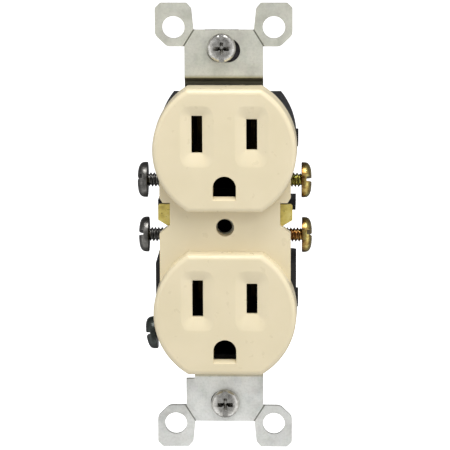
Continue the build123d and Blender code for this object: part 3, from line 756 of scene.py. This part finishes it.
def blade_opening(bm, x, z, slot_half, front):
    """Cutter for one blade slot and the soft dish that leads a blade into it."""
    rings = [rounded_ring(bm, (x, z - DISH_DROP), DISH_HALF, DISH_CORNER, front - MM)]
    for step in range(DISH_STEPS + 1):
        inward = step / DISH_STEPS
        half = [wide + (narrow - wide) * inward for wide, narrow in zip(DISH_HALF, slot_half)]
        corner = DISH_CORNER + (SLOT_CORNER - DISH_CORNER) * inward
        depth = front - DISH_START + (DISH_DEPTH + DISH_START) * inward ** DISH_POWER
        rings.append(rounded_ring(bm, (x, z - DISH_DROP * (1 - inward)), half, corner, depth))
    rings.append(rounded_ring(bm, (x, z), slot_half, SLOT_CORNER, front + SLOT_REACH))
    add_tube(bm, rings)


def make_face_cover(material):
    """Moulded face: its plain CAD pockets are filled, soft dishes are cut, and edges are eased."""
    bm = solid_of("face_cover")
    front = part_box("face_cover")[0][1]
    filler = bmesh.new()
    cutter = bmesh.new()
    for level in ("upper", "lower"):
        centre = mount(f"{level}_plug_face")
        for side, slot_half in SLOT_HALVES.items():
            x = centre.x + side * BLADE_X
            block = [
                rounded_ring(filler, (x, centre.z - DISH_DROP), FILL_HALF, SLOT_CORNER, y)
                for y in (front + FILL_INSET, front + FACE_SHEET - FILL_INSET)
            ]
            add_tube(filler, block)
            blade_opening(cutter, x, centre.z, slot_half, front)
    bm = combine(bm, filler, "UNION")
    bm = combine(bm, cutter)
    bmesh.ops.remove_doubles(bm, verts=bm.verts, dist=MERGE)
    bmesh.ops.dissolve_limit(bm, angle_limit=radians(CUT_FLAT), verts=bm.verts, edges=bm.edges)
    round_edges(bm, sharp_edges(bm, CUT_EDGE), COVER_EDGE, 3)
    bmesh.ops.dissolve_degenerate(bm, edges=bm.edges, dist=10 * MERGE)
    bmesh.ops.triangulate(bm, faces=[f for f in bm.faces if len(f.verts) > 4])
    mesh = to_mesh(bm, "face_cover")
    new_piece("face_cover.moulded", mesh, "receptacle", material, "ivory_plastic", "face_cover")


def make_eased(node, body, material, slot, width):
    """Piece with a CAD node's shape, its sharp edges rounded as stamping or moulding leaves them."""
    bm = solid_of(node)
    round_edges(bm, sharp_edges(bm), width)
    new_piece(f"{node}.eased", to_mesh(bm, node), body, material, slot, node)


# ---------------------------------------------------------------- assembly

make_camera()
make_world()
softbox("top_light", azimuth=14, elevation=72, distance=0.9, size=(0.7, 0.4), power=6.0)
for name, azimuth, elevation, distance, power in (
    ("front_fill", 25, 42, 0.9, 2.7),
    ("left_fill", -80, -12, 0.8, 0.5),
    ("right_fill", 80, -12, 0.8, 1.0),
):
    softbox(name, azimuth, elevation, distance, (0.5, 0.5), power, glossy=False)
make_stage()
scene.view_settings.view_transform = "Standard"

nickel = screw_metal(
    "nickel_screw", roughness=(0.26, 0.40),
    tones=[(0.07, 0.068, 0.064), (0.16, 0.155, 0.145), (0.30, 0.29, 0.275)])
yellow = screw_metal(
    "brass_screw", roughness=(0.18, 0.34),
    tones=[(0.14, 0.07, 0.035), (0.40, 0.27, 0.08), (0.64, 0.53, 0.18), (0.48, 0.50, 0.22)],
    tint=((1.0, 0.72, 0.66), (0.84, 1.0, 0.74), (0.5, 0.37, 0.32)))
zinc = screw_metal(
    "zinc_screw", roughness=(0.13, 0.3),
    tones=[(0.26, 0.25, 0.235), (0.50, 0.49, 0.46), (0.74, 0.73, 0.71)])
green = screw_metal(
    "green_screw", roughness=(0.22, 0.4), metallic=0.6, film=0.5,
    tones=[(0.007, 0.010, 0.009), (0.017, 0.026, 0.021), (0.042, 0.056, 0.047)])
make_terminal_screws(yellow, nickel)
make_ground_screw(green)
make_mounting_screws(zinc)

make_face_cover(ivory_plastic())
make_eased("back_body", "receptacle", black_plastic(), "black_plastic", 0.25 * MM)
make_eased("mounting_strap", "receptacle", galvanised_steel(), "galvanised_steel", 0.16 * MM)
make_eased("ground_contact_rivets", "receptacle", brass_sheet("rivet_brass"), "rivet_brass", 0.08 * MM)
sheet = brass_sheet()
for node in ("hot_contact_strip", "neutral_contact_strip", "ground_contact_upper", "ground_contact_lower"):
    make_eased(node, "receptacle", sheet, "brass_sheet", 0.1 * MM)
strand = fibre()
for end in ("top", "bottom"):
    node = f"screw_retainer_{end}"
    make_eased(node, node, strand, "fibre", 0.12 * MM)
blued = spring_steel()
for side in ("hot", "neutral"):
    for end in ("upper", "lower"):
        node = f"{side}_wire_spring_{end}"
        make_eased(node, node, blued, "spring_steel", 0.06 * MM)
